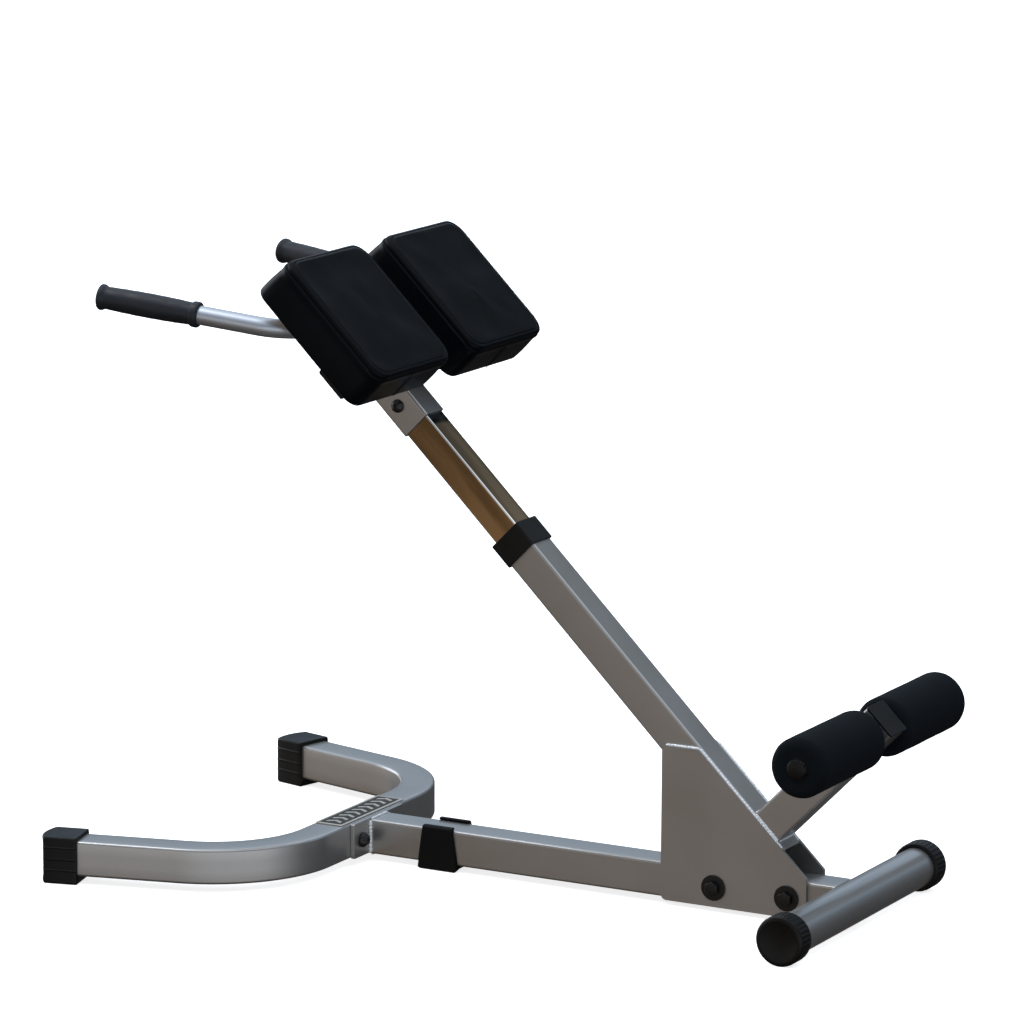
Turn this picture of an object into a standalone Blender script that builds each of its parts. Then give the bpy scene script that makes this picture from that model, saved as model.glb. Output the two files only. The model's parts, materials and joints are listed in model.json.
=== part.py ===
"""Roman chair (45 degree back-extension bench): floor frame, telescoping pad carriage, spinning ankle rollers.

Every size below is in millimetres. +X runs from the handles to the ankle rollers, +Z is up, and the machine is
mirrored about Y = 0. "l" is the side at -Y. The inclined upright has its own frame: "along" is measured up the
tube from the base tube's centre line, "off" is measured square to it, away from the floor.
"""

import math

import bmesh
import bpy
from mathutils import Matrix, Vector

MM = 0.001
GAP = 0.3

# Stock
TUBE = 50.8
WALL = 2.0
CORNER = 4.0

# Floor frame, X measured from the rear tube's axis
REAR_X = 518.1
AXIS_Z = 35.0
REAR_R = 28.6
REAR_HALF = 226.0
CAP_R = 35.0
CAP_HALF = 235.5
CAP_LONG = 31.0
FLANGE_X = REAR_X - 749.4
FLANGE_T = 6.0
FLANGE_HALF = 71.0
U_BOTTOM = 11.6
U_BEND_R = 163.5
U_BEND = math.radians(75.5)
U_STRAIGHT_HALF = 125.5
U_LEG = 186.0
FOOT_GRIP = 39.0
FOOT_LONG = 55.0
FOOT_PROUD = 4.6
MID_FOOT_X = REAR_X - 638.0

# Upright
INCLINE = math.radians(44.5)
UPRIGHT_FOOT_X = REAR_X - 61.8
UPRIGHT_LOW = 69.0
UPRIGHT_TOP = 650.0
COLLAR_LOW = 622.5
COLLAR_TOP = 660.5
GUSSET_IN = 25.7
GUSSET_T = 5.0
GUSSET_FRONT = REAR_X - 281.0
GUSSET_REAR = REAR_X - 57.5
GUSSET_BOTTOM = 7.2
GUSSET_TOP = 228.0
BOLT_XS = (REAR_X - 198.7, REAR_X - 86.8)

# Ankle rollers
ARM_ALONG = 108.5
ARM_END = 260.5
ROLLER_OFF = 228.5
ROLLER_R = 42.0
ROLLER_IN = 34.5
ROLLER_OUT = 231.0
AXLE_R = 12.7

# Carriage
INNER = 44.45
INNER_LOW = 420.0
INNER_TOP = 990.0
SLEEVE_LOW = 861.5
SLEEVE_TOP = 1078.0
PIN_ALONG = 585.0
PIN_PITCH = 40.0
PIN_TRAVEL = 5.5
SUPPORT_ALONG = 946.4
SUPPORT_HALF = 191.0
SUPPORT_TALL = 30.0
PAD_OFF = 56.0
PAD_LOW = 883.0
PAD_TOP = 1106.0
PAD_IN = 28.0
PAD_OUT = 241.0
PAD_THICK = 66.0
PAD_CROWN = 6.0
BOARD_T = 11.4
BAR_ALONG = 1035.0
BAR_R = 13.5
TAB_LOW = 52.3
BAR_CORNER_Y = 200.0
BAR_BEND_R = 62.0
GRIP_END = (REAR_X - 1057.0, 248.0, 822.0)
GRIP_LONG = 152.0

SLATE = (0.30, 0.31, 0.33)
BLACK = (0.02, 0.02, 0.022)


def material(name, colour, metallic, roughness):
    made = bpy.data.materials.new(name)
    made.use_nodes = True
    shader = made.node_tree.nodes["Principled BSDF"]
    shader.inputs["Base Color"].default_value = (*colour, 1.0)
    shader.inputs["Metallic"].default_value = metallic
    shader.inputs["Roughness"].default_value = roughness
    return made


def clear_scene():
    for obj in list(bpy.data.objects):
        bpy.data.objects.remove(obj, do_unlink=True)


def solid(name, verts, faces, look=None, frame=None, cutter=False):
    """An object from points in millimetres; look is (colour, metallic, roughness)."""
    mesh = bpy.data.meshes.new(name)
    mesh.from_pydata([Vector(v) * MM for v in verts], [], faces)
    work = bmesh.new()
    work.from_mesh(mesh)
    bmesh.ops.recalc_face_normals(work, faces=work.faces)
    work.to_mesh(mesh)
    work.free()
    obj = bpy.data.objects.new(name, mesh)
    bpy.context.scene.collection.objects.link(obj)
    if frame is not None:
        obj.parent = frame
    if cutter:
        obj.hide_render = True
        obj.display_type = "WIRE"
        return obj
    mesh.materials.append(material(name, *look))
    mesh.shade_smooth()
    mesh.set_sharp_from_angle(angle=math.radians(35))
    return obj


def skin(rings, closed_path=False):
    """Points and faces that join equal rings, with flat ends."""
    count = len(rings[0])
    verts = [p for ring in rings for p in ring]
    faces = []
    for i in range(len(rings) - 1):
        for j in range(count):
            k = (j + 1) % count
            faces.append((i * count + j, i * count + k, (i + 1) * count + k, (i + 1) * count + j))
    if not closed_path:
        faces.append(tuple(range(count)))
        faces.append(tuple((len(rings) - 1) * count + j for j in range(count)))
    return verts, faces


def pipe(outer, inner):
    """Points and faces of a hollow run with open ends, from matching outer and inner rings."""
    verts, faces = skin(outer, True)
    more, inside = skin(inner, True)
    base = len(verts)
    faces += [tuple(base + i for i in f) for f in inside]
    count = len(outer[0])
    for row in (0, len(outer) - 1):
        for j in range(count):
            k = (j + 1) % count
            a, b = row * count + j, row * count + k
            faces.append((a, b, base + b, base + a))
    return verts + more, faces


def rounded(half_a, half_b, radius, steps=3):
    """Corner-rounded rectangle as (a, b) pairs, anticlockwise."""
    ring = []
    for ca, cb, start in ((1, 1, 0), (-1, 1, 90), (-1, -1, 180), (1, -1, 270)):
        for i in range(steps + 1):
            t = math.radians(start + 90 * i / steps)
            ring.append((ca * (half_a - radius) + radius * math.cos(t), cb * (half_b - radius) + radius * math.sin(t)))
    return ring


def split_spans(ring, pieces=6):
    """Cuts each long side of a ring into equal pieces, so that it can be bowed."""
    out = []
    for a, b in zip(ring, ring[1:] + ring[:1]):
        count = pieces if math.dist(a, b) > 10 else 1
        out += [(a[0] + (b[0] - a[0]) * k / count, a[1] + (b[1] - a[1]) * k / count) for k in range(count)]
    return out


def circle(radius, count=24, turn=0.0):
    return [(radius * math.cos(math.tau * i / count + turn), radius * math.sin(math.tau * i / count + turn))
            for i in range(count)]


def hexagon(flats, count=24):
    """A nut's outline by its size across flats, sampled at even angles so that it pairs with a round bore."""
    ring = []
    for i in range(count):
        t = math.tau * i / count
        reach = flats / 2 / math.cos((t % math.radians(60)) - math.radians(30))
        ring.append((reach * math.cos(t), reach * math.sin(t)))
    return ring


AXES = {"x": (Vector((1, 0, 0)), Vector((0, 1, 0)), Vector((0, 0, 1))),
        "y": (Vector((0, 1, 0)), Vector((0, 0, 1)), Vector((1, 0, 0))),
        "z": (Vector((0, 0, 1)), Vector((1, 0, 0)), Vector((0, 1, 0)))}


def place(ring, axis, at, centre=(0, 0, 0)):
    """A 2-D ring set square to an axis, at a distance along it."""
    along, a, b = AXES[axis]
    return [Vector(centre) + along * at + a * p + b * q for p, q in ring]


def bar(name, axis, low, high, ring, look, centre=(0, 0, 0), hole=None, frame=None, chamfer=0.0, cutter=False):
    """A straight run of one section between two distances along an axis, hollow if a hole ring is given."""
    if hole is None:
        rings = [place(ring, axis, low, centre), place(ring, axis, high, centre)]
        if chamfer:
            small = [(p * (1 - chamfer / math.hypot(p, q)), q * (1 - chamfer / math.hypot(p, q))) for p, q in ring]
            rings = [place(small, axis, low, centre), place(ring, axis, low + chamfer, centre),
                     place(ring, axis, high - chamfer, centre), place(small, axis, high, centre)]
        return solid(name, *skin(rings), look, frame, cutter)
    outer = [place(ring, axis, t, centre) for t in (low, high)]
    inner = [place(hole, axis, t, centre) for t in (low, high)]
    return solid(name, *pipe(outer, inner), look, frame, cutter)


def lathe(name, axis, profile, look, centre=(0, 0, 0), count=28, frame=None):
    """A closed profile of (distance along, radius) pairs turned about an axis; zero radii close on the axis."""
    along, a, b = AXES[axis]
    verts, rows = [], []
    for t, r in profile:
        if r <= 0:
            rows.append([len(verts)] * count)
            verts.append(Vector(centre) + along * t)
            continue
        rows.append(list(range(len(verts), len(verts) + count)))
        verts += place(circle(r, count), axis, t, centre)
    faces = []
    for i, row in enumerate(rows):
        after = rows[(i + 1) % len(rows)]
        if profile[i][1] <= 0 and profile[(i + 1) % len(rows)][1] <= 0:
            continue
        for j in range(count):
            k = (j + 1) % count
            face = []
            for v in (row[j], row[k], after[k], after[j]):
                if v not in face:
                    face.append(v)
            faces.append(tuple(face))
    return solid(name, verts, faces, look, frame)


def plate(name, outline, axis, low, high, look, frame=None):
    """A flat plate from its outline, square to an axis."""
    return bar(name, axis, low, high, outline, look, frame=frame)


def soften(outline, radii, steps=4):
    """Rounds each corner of an outline by its own radius."""
    out = []
    count = len(outline)
    for i, radius in enumerate(radii):
        here = Vector(outline[i])
        before = (Vector(outline[i - 1]) - here).normalized()
        after = (Vector(outline[(i + 1) % count]) - here).normalized()
        if not radius:
            out.append(tuple(here))
            continue
        half = before.angle(after) / 2
        back = radius / math.tan(half)
        centre = here + (before + after).normalized() * radius / math.sin(half)
        start, end = here + before * back - centre, here + after * back - centre
        turn = start.angle_signed(end)
        for k in range(steps + 1):
            out.append(tuple(centre + Matrix.Rotation(-turn * k / steps, 2) @ start))
    return out


def cut(obj, cutters, operation="DIFFERENCE"):
    for other in cutters:
        modifier = obj.modifiers.new(other.name, "BOOLEAN")
        modifier.operation = operation
        modifier.solver = "EXACT"
        modifier.object = other


def weld(obj, others):
    cut(obj, others, "UNION")


def drill(name, axis, low, high, radius, centre, frame=None):
    return bar(name, axis, low, high, circle(radius, 20, 0.1), None, centre, frame=frame, cutter=True)


def upright_frame():
    """Empty whose X runs up the upright, Z square to it, so its Y points to the world's -Y."""
    empty = bpy.data.objects.new("upright_frame", None)
    empty.location = Vector((UPRIGHT_FOOT_X, 0, AXIS_Z)) * MM
    empty.rotation_euler = (0, -INCLINE, math.pi)
    bpy.context.scene.collection.objects.link(empty)
    return empty


def to_world(along, y, off):
    """World point, in millimetres, of a place in the upright's frame; y is the world's."""
    c, s = math.cos(INCLINE), math.sin(INCLINE)
    return Vector((UPRIGHT_FOOT_X - c * along + s * off, y, AXIS_Z + s * along + c * off))


STEEL = (SLATE, 0.75, 0.36)
CHROME = ((0.75, 0.74, 0.72), 1.0, 0.08)
PLASTIC = (BLACK, 0.0, 0.45)
RUBBER = (BLACK, 0.0, 0.75)
BOLT = ((0.03, 0.03, 0.032), 0.6, 0.4)
FOAM = ((0.025, 0.026, 0.028), 0.0, 0.95)
VINYL = ((0.02, 0.022, 0.025), 0.0, 0.42)
WOOD = ((0.45, 0.33, 0.2), 0.0, 0.7)

SIDES = (("l", -1), ("r", 1))


def sweep_path(points, normal, section, hole):
    """Rings along a planar path of (point, direction) pairs; normal is the plane's."""
    outer, inner = [], []
    for point, heading in points:
        side = normal.cross(heading).normalized()
        outer.append([point + side * p + normal * q for p, q in section])
        inner.append([point + side * p + normal * q for p, q in hole])
    return pipe(outer, inner)


def front_tube_path():
    """Centre line of the bent front tube from its left leg's end to its right leg's end."""
    x = FLANGE_X - FLANGE_T - GAP - TUBE / 2
    steps = 10
    half = []
    for i in range(steps + 1):
        t = U_BEND * i / steps
        half.append((Vector((x - U_BEND_R + U_BEND_R * math.cos(t), U_STRAIGHT_HALF + U_BEND_R * math.sin(t), 0)),
                     Vector((-math.sin(t), math.cos(t), 0))))
    end, heading = half[-1]
    half.append((end + heading * U_LEG, heading))
    mirrored = [(Vector((p.x, -p.y, 0)), Vector((-h.x, h.y, 0))) for p, h in reversed(half)]
    return mirrored + half


def front_frame():
    z = U_BOTTOM + TUBE / 2
    path = [(p + Vector((0, 0, z)), h) for p, h in front_tube_path()]
    tube = solid("front_tube", *sweep_path(path, Vector((0, 0, 1)), rounded(TUBE / 2, TUBE / 2, CORNER),
                                           rounded(TUBE / 2 - WALL, TUBE / 2 - WALL, CORNER - WALL)), STEEL)
    outline = rounded(FLANGE_HALF, TUBE / 2, 3.0)
    flange = bar("front_flange", "x", FLANGE_X - FLANGE_T, FLANGE_X, outline, STEEL, (0, 0, z))
    front = FLANGE_X - FLANGE_T - GAP - TUBE
    for side, sign in SIDES:
        spot = (0, sign * 47.5, z - 1.5)
        hole = drill(f"hole_flange_{side}", "x", front - 20, FLANGE_X + 20, 4.4, spot)
        cut(tube, [hole])
        cut(flange, [hole])
        lathe(f"flange_bolt_{side}", "x",
              [(front - 13, 0), (front - 13, 4), (FLANGE_X + GAP, 4), (FLANGE_X + GAP, 10.8), (FLANGE_X + 2.4, 10.8),
               (FLANGE_X + 2.4, 9.2), (FLANGE_X + 6.5, 9.0), (FLANGE_X + 9.6, 6.6), (FLANGE_X + 11.0, 3.4),
               (FLANGE_X + 11.2, 0)], BOLT, spot, 20)
        bar(f"flange_nut_{side}", "x", front - GAP - 8, front - GAP, hexagon(13), BOLT, spot, circle(4.4))
        front_foot(side, path[-1] if sign > 0 else (path[0][0], -path[0][1]))


def front_foot(side, end):
    """Push-on cap at the end of one front leg, bowed at its end; its flat underside stands on the floor."""
    point, heading = end
    across, up = Vector((0, 0, 1)).cross(heading), Vector((0, 0, 1))
    start = Vector((point.x, point.y, 0)) - heading * FOOT_GRIP
    half_w, half_h = TUBE / 2 + FOOT_PROUD, (U_BOTTOM + TUBE + FOOT_PROUD) / 2
    rings = []
    for at, inset, bow in ((0, 0, 0), (FOOT_LONG - 9, 0, 5.5), (FOOT_LONG - 7.5, 1.5, 6)):
        ring = split_spans(rounded(half_w - inset, half_h - inset, 3.0 - inset / 2))
        rings.append([start + heading * (at + bow * (1 - (p / half_w) ** 2)) + across * p + up * (half_h + q)
                      for p, q in ring])
    foot = solid(f"front_cap_{side}", *skin(rings), PLASTIC)
    hollow = rounded(TUBE / 2 + GAP, TUBE / 2 + GAP, CORNER)
    pocket = [[start + heading * at + across * p + up * (point.z + q) for p, q in hollow]
              for at in (-5, FOOT_GRIP + GAP)]
    cut(foot, [solid(f"pocket_front_cap_{side}", *skin(pocket), cutter=True)])


def base_and_rear():
    ring = rounded(TUBE / 2, TUBE / 2, CORNER)
    bore = rounded(TUBE / 2 - WALL, TUBE / 2 - WALL, CORNER - WALL)
    base = bar("base_tube", "x", FLANGE_X + GAP, REAR_X - 10, ring, STEEL, (0, 0, AXIS_Z), bore)
    cope = bar("cope_rear", "y", -60, 60, circle(REAR_R + GAP, 48), None, (REAR_X, 0, AXIS_Z), cutter=True)
    cut(base, [cope])
    lathe("rear_tube", "y", [(-REAR_HALF, REAR_R), (REAR_HALF, REAR_R), (REAR_HALF, REAR_R - WALL),
                             (-REAR_HALF, REAR_R - WALL)], STEEL, (REAR_X, 0, AXIS_Z), 40)
    for side, sign in SIDES:
        inside = REAR_R + GAP
        profile = [(CAP_HALF - CAP_LONG, inside), (CAP_HALF - CAP_LONG, CAP_R - 1.6), (CAP_HALF - CAP_LONG + 2, CAP_R),
                   (CAP_HALF - 5, CAP_R), (CAP_HALF - 1.5, CAP_R - 2.0), (CAP_HALF, CAP_R - 5.5), (CAP_HALF, 0),
                   (REAR_HALF + GAP, 0), (REAR_HALF + GAP, inside)]
        lathe(f"rear_cap_{side}", "y", [(sign * t, r) for t, r in profile], PLASTIC, (REAR_X, 0, AXIS_Z), 40)
    drills = []
    for i, x in enumerate(BOLT_XS):
        drills.append(drill(f"hole_gusset_{i}", "y", -45, 45, 5.4, (x, 0, AXIS_Z)))
    cut(base, drills)
    return drills


def mid_foot():
    """Rubber saddle clipped over the base tube from below."""
    half_y = TUBE / 2 + GAP + 4.0
    top = AXIS_Z + TUBE / 2 + 4.2
    outline = [(0, 0), (66, 0), (57.5, top), (10.5, top)]
    outline = [(MID_FOOT_X - 34 + x, z) for x, z in outline]
    rim = soften(outline, (4, 4, 2, 2))
    foot = bar("mid_foot", "y", -half_y, half_y, [(z, x) for x, z in rim], RUBBER)
    channel = rounded(TUBE / 2 + GAP, TUBE / 2 + GAP, CORNER)
    tunnel = bar("tunnel_mid_foot", "x", MID_FOOT_X - 60, MID_FOOT_X + 60, channel, None, (0, 0, AXIS_Z), cutter=True)
    mouth = bar("mouth_mid_foot", "x", MID_FOOT_X - 60, MID_FOOT_X + 60, rounded(TUBE / 2 - 4.0, 12, 0.5), None,
                (0, 0, AXIS_Z + TUBE / 2 + 6), cutter=True)
    relief = bar("relief_mid_foot", "x", MID_FOOT_X - 60, MID_FOOT_X + 60, rounded(22, 6.2, 2), None, cutter=True)
    cut(foot, [tunnel, mouth, relief])


def nameplate():
    """Bordered plate with a generic chevron row, bonded on the bent tube's middle."""
    x = FLANGE_X - FLANGE_T - GAP - TUBE / 2
    z = U_BOTTOM + TUBE + GAP
    body = bar("nameplate", "z", z, z + 1.6, rounded(22.0, 89.0, 3.0), ((0.42, 0.40, 0.37), 0.6, 0.45), (x, 0, 0))
    recess = bar("recess_nameplate", "z", z + 0.9, z + 4, rounded(19.6, 86.6, 2.0), None, (x, 0, 0), cutter=True)
    cut(body, [recess])


def gussets(drills):
    z_low = AXIS_Z + TUBE / 2 + 5.6
    c = math.cos(INCLINE)
    top_rear_x = to_world((GUSSET_TOP - AXIS_Z - c * 23.5) / math.sin(INCLINE), 0, 23.5).x
    outline = soften([(GUSSET_FRONT, GUSSET_BOTTOM), (GUSSET_REAR, GUSSET_BOTTOM), (GUSSET_REAR, z_low),
                      (top_rear_x, GUSSET_TOP), (GUSSET_FRONT, GUSSET_TOP)], (9, 9, 3, 3, 3))
    for side, sign in SIDES:
        low, high = sorted((sign * GUSSET_IN, sign * (GUSSET_IN + GUSSET_T)))
        cheek = plate(f"gusset_{side}", [(z, x) for x, z in outline], "y", low, high, STEEL)
        cut(cheek, drills)
    face = GUSSET_IN + GUSSET_T
    for tag, x in zip("ab", BOLT_XS):
        centre = (x, 0, AXIS_Z)
        for side, sign in SIDES:
            low, high = sorted((sign * (face + GAP), sign * (face + GAP + 2.4)))
            bar(f"gusset_washer_{tag}_{side}", "y", low, high, circle(18.3), BOLT, centre, circle(5.4))
        head = face + 2 * GAP + 2.4
        bolt = [place([(p * 0.9, q * 0.9) for p, q in hexagon(18.4)], "y", -head - 7, centre),
                place(hexagon(18.4), "y", -head - 6, centre), place(hexagon(18.4), "y", -head, centre),
                place(circle(5.0), "y", -head, centre), place(circle(5.0), "y", head + 13, centre)]
        solid(f"gusset_bolt_{tag}", *skin(bolt), BOLT)
        bar(f"gusset_nut_{tag}", "y", head, head + 9, hexagon(18.4), BOLT, centre, circle(5.4))


def end_plug(name, axis, end, centre, frame):
    """Plastic cap pushed into a square tube's end, with a thin lip over the wall."""
    lip = bar(f"lip_{name}", axis, end + GAP, end + 3.0, rounded(TUBE / 2 + 0.6, TUBE / 2 + 0.6, CORNER), None, centre,
              frame=frame, cutter=True)
    stem = rounded(TUBE / 2 - WALL - GAP, TUBE / 2 - WALL - GAP, CORNER - WALL)
    plug = bar(name, axis, end - 14, end + 1.5, stem, PLASTIC, centre, frame=frame)
    weld(plug, [lip])


def upright_and_arm(frame):
    ring = rounded(TUBE / 2, TUBE / 2, CORNER)
    bore = rounded(TUBE / 2 - WALL, TUBE / 2 - WALL, CORNER - WALL)
    tube = bar("upright", "x", UPRIGHT_LOW, UPRIGHT_TOP, ring, STEEL, hole=bore, frame=frame)
    pin_hole = drill("hole_upright_pin", "y", -40, -15, 4.6, (PIN_ALONG, 0, 0), frame)
    cut(tube, [pin_hole])
    collar = bar("upright_collar", "x", COLLAR_LOW, COLLAR_TOP, rounded(29.0, 29.0, 5.5), PLASTIC, frame=frame,
                 hole=rounded(INNER / 2 + GAP, INNER / 2 + GAP, 2.6))
    seat = bar("seat_collar", "x", COLLAR_LOW - 10, UPRIGHT_TOP + GAP, rounded(TUBE / 2 + GAP, TUBE / 2 + GAP, CORNER),
               None, frame=frame, cutter=True)
    cut(collar, [seat])
    arm = bar("roller_arm", "z", TUBE / 2 + GAP, ARM_END, ring, STEEL, (ARM_ALONG, 0, 0), bore, frame)
    cut(arm, [bar("hole_arm_axle", "y", -60, 60, circle(AXLE_R + GAP, 28), None, (ARM_ALONG, 0, ROLLER_OFF),
                  frame=frame, cutter=True)])
    end_plug("roller_arm_cap", "z", ARM_END, (ARM_ALONG, 0, 0), frame)


def rollers(frame):
    centre = (ARM_ALONG, 0, ROLLER_OFF)
    half = ROLLER_OUT + 1.0
    lathe("roller_axle", "y", [(-half, AXLE_R), (half, AXLE_R), (half, AXLE_R - 2), (-half, AXLE_R - 2)], STEEL,
          centre, 28, frame)
    core_r, foam_in = AXLE_R + 0.4, AXLE_R + 2.6
    for side, sign in SIDES:
        s = -sign
        core = [(ROLLER_IN, core_r), (ROLLER_IN, foam_in - GAP), (ROLLER_OUT, foam_in - GAP), (ROLLER_OUT, core_r)]
        lathe(f"roller_core_{side}", "y", [(s * t, r) for t, r in core], PLASTIC, centre, 28, frame)
        foam = [(ROLLER_IN, foam_in), (ROLLER_IN, ROLLER_R - 9)]
        for deg in (30, 60, 90):
            t = math.radians(deg)
            foam.append((ROLLER_IN + 9 - 9 * math.cos(t), ROLLER_R - 9 + 9 * math.sin(t)))
        for deg in (90, 60, 30, 0):
            t = math.radians(deg)
            foam.append((ROLLER_OUT - 9 + 9 * math.cos(t), ROLLER_R - 9 + 9 * math.sin(t)))
        foam.append((ROLLER_OUT, foam_in))
        lathe(f"roller_foam_{side}", "y", [(s * t, r) for t, r in foam], FOAM, centre, 32, frame)
        plug = [(half + GAP, 0), (half + GAP - 16, 0), (half + GAP - 16, AXLE_R - 2.3), (half + GAP, AXLE_R - 2.3),
                (half + GAP, 13.4), (half + 2.2, 13.4), (half + 4.0, 10.5), (half + 4.6, 0)]
        lathe(f"axle_plug_{side}", "y", [(s * t, r) for t, r in plug[1:]], PLASTIC, centre, 24, frame)


def pull_pin(frame):
    """Pull-and-park pin on the upright's far side, parked here; its nose drops into the inner tube's holes."""
    face = -TUBE / 2
    knob = face - 8.6 - PIN_TRAVEL
    at = (PIN_ALONG, 0, 0)
    lathe("pin_housing", "y", [(face - GAP, 4.6), (face - GAP, 11.0), (face - 6.2, 11.0), (face - 8.0, 9.2),
                               (face - 8.0, 3.4), (face - 6.8, 3.4), (face - 6.8, 7.6), (face - 1.6, 7.6),
                               (face - 1.6, 4.6)], BOLT, at, 24, frame)
    tip = -INNER / 2 - 0.8
    lathe("pin_plunger", "y", [(tip, 0), (tip, 3.2), (tip - 1.2, 4.0), (face - 2.4, 4.0), (face - 2.4, 3.0),
                               (knob - 3.6, 3.0), (knob - 3.6, 0)], CHROME, at, 20, frame)
    lathe("pin_knob", "y", [(knob, 3.3), (knob, 6.5), (knob - 2.6, 8.0), (knob - 4.6, 10.0), (knob - 8.0, 10.0),
                            (knob - 9.4, 8.0), (knob - 9.4, 0), (knob - 3.9, 0), (knob - 3.9, 3.3)],
          PLASTIC, at, 24, frame)
    turns, wire, radius = 2.5, 0.55, 5.4
    low, high = face - 2.9, face - 6.0
    rings = []
    steps = int(turns * 12)
    for i in range(steps + 1):
        t = math.tau * turns * i / steps
        out = Vector((math.cos(t), 0, math.sin(t)))
        centre = Vector(at) + out * radius + Vector((0, low + (high - low) * i / steps, 0))
        rings.append([centre + out * wire * math.cos(k) + Vector((0, 1, 0)) * wire * math.sin(k)
                      for k in [math.tau * j / 6 for j in range(6)]])
    solid("pin_spring", *skin(rings), CHROME, frame)


def carriage(frame):
    slim = rounded(INNER / 2, INNER / 2, 2.5)
    bore = rounded(INNER / 2 - WALL, INNER / 2 - WALL, 1.5)
    inner = bar("inner_tube", "x", INNER_LOW, INNER_TOP, slim, CHROME, hole=bore, frame=frame)
    lock_holes = [drill(f"hole_lock_{i}", "y", -40, -10, 4.6, (PIN_ALONG + PIN_PITCH * (i - 3), 0, 0), frame)
                  for i in range(8)]
    bolt_at = (900.0, 0, -2.0)
    through = drill("hole_carriage", "y", -50, 50, 4.6, bolt_at, frame)
    cut(inner, lock_holes + [through])
    foot = rounded(TUBE / 2 - WALL - GAP, TUBE / 2 - WALL - GAP, CORNER - WALL)
    plug = bar("inner_tube_foot", "x", INNER_LOW - 6, INNER_LOW - GAP, foot, PLASTIC, frame=frame)
    spigot = bar("spigot_inner_foot", "x", INNER_LOW - 2, INNER_LOW + 20,
                 rounded(INNER / 2 - WALL - GAP, INNER / 2 - WALL - GAP, 1.2), None, frame=frame, cutter=True)
    weld(plug, [spigot])
    sleeve = bar("carriage_sleeve", "x", SLEEVE_LOW, SLEEVE_TOP, rounded(TUBE / 2, TUBE / 2, CORNER), STEEL,
                 hole=rounded(TUBE / 2 - WALL, TUBE / 2 - WALL, CORNER - WALL), frame=frame)
    cut(sleeve, [through])
    end_plug("sleeve_plug", "x", SLEEVE_TOP, (0, 0, 0), frame)
    face = TUBE / 2 + GAP
    lathe("carriage_bolt", "y", [(face + 7.0, 0), (face + 6.7, 4.0), (face + 5.0, 7.6), (face + 2.4, 9.6), (face, 9.6),
                                 (face, 4.2), (-face - 13, 4.2), (-face - 13, 0)], BOLT, bolt_at, 20, frame)
    bar("carriage_nut", "y", -face - 8, -face, hexagon(13), BOLT, bolt_at, circle(4.6), frame)
    low = TUBE / 2 + GAP
    mid = low + SUPPORT_TALL / 2
    support = bar("cross_support", "y", -SUPPORT_HALF + 6, SUPPORT_HALF - 6,
                  [(q, p) for p, q in rounded(TUBE / 2, SUPPORT_TALL / 2, 3.0)], STEEL, (SUPPORT_ALONG, 0, mid),
                  [(q, p) for p, q in rounded(TUBE / 2 - WALL, SUPPORT_TALL / 2 - WALL, 1.5)], frame)
    tab_at = BAR_ALONG + 24.0
    pad_y = (PAD_IN + PAD_OUT) / 2
    tabs = []
    for side, sign in SIDES:
        s = -sign
        end = SUPPORT_HALF - 6
        lo, hi = sorted((s * (end + GAP), s * (end + 6)))
        cap = bar(f"support_cap_{side}", "y", lo, hi, [(q, p) for p, q in rounded(TUBE / 2, SUPPORT_TALL / 2, 3.0)],
                  PLASTIC, (SUPPORT_ALONG, 0, mid), frame=frame)
        lo, hi = sorted((s * (end - 14), s * (end + 2)))
        spigot = bar(f"spigot_support_{side}", "y", lo, hi,
                     [(q, p) for p, q in rounded(TUBE / 2 - WALL - GAP, SUPPORT_TALL / 2 - WALL - GAP, 1.2)], None,
                     (SUPPORT_ALONG, 0, mid), frame=frame, cutter=True)
        weld(cap, [spigot])
        front = (SUPPORT_ALONG, s * pad_y, 0)
        rear = (tab_at, s * pad_y, 0)
        hole_front = drill(f"hole_pad_front_{side}", "z", 10, 90, 4.4, front, frame)
        hole_rear = drill(f"hole_pad_rear_{side}", "z", 10, 90, 4.4, rear, frame)
        cut(support, [hole_front])
        tab = bar(f"tab_{side}", "z", TAB_LOW, PAD_OFF - GAP, rounded(27, 17, 4.0), None,
                  (BAR_ALONG + 9.0, s * pad_y, 0), frame=frame, cutter=True)
        tabs.append((tab, hole_rear))
        top = PAD_OFF + BOARD_T - 1.0
        for tag, spot, under in (("front", front, low - GAP), ("rear", rear, TAB_LOW - GAP)):
            lathe(f"pad_bolt_{tag}_{side}", "z", [(top, 0), (top, 4.0), (under, 4.0), (under, 7.5), (under - 4, 7.5),
                                                  (under - 5.2, 5.5), (under - 5.2, 0)], BOLT, spot, 18, frame)
        board = bar(f"pad_board_{side}", "z", PAD_OFF, PAD_OFF + BOARD_T,
                    rounded((PAD_TOP - PAD_LOW) / 2 - 14, (PAD_OUT - PAD_IN) / 2 - 14, 14), WOOD,
                    ((PAD_LOW + PAD_TOP) / 2, s * pad_y, 0), frame=frame)
        cut(board, [hole_front, hole_rear])
        pad(side, s, frame)
    return tabs


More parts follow.
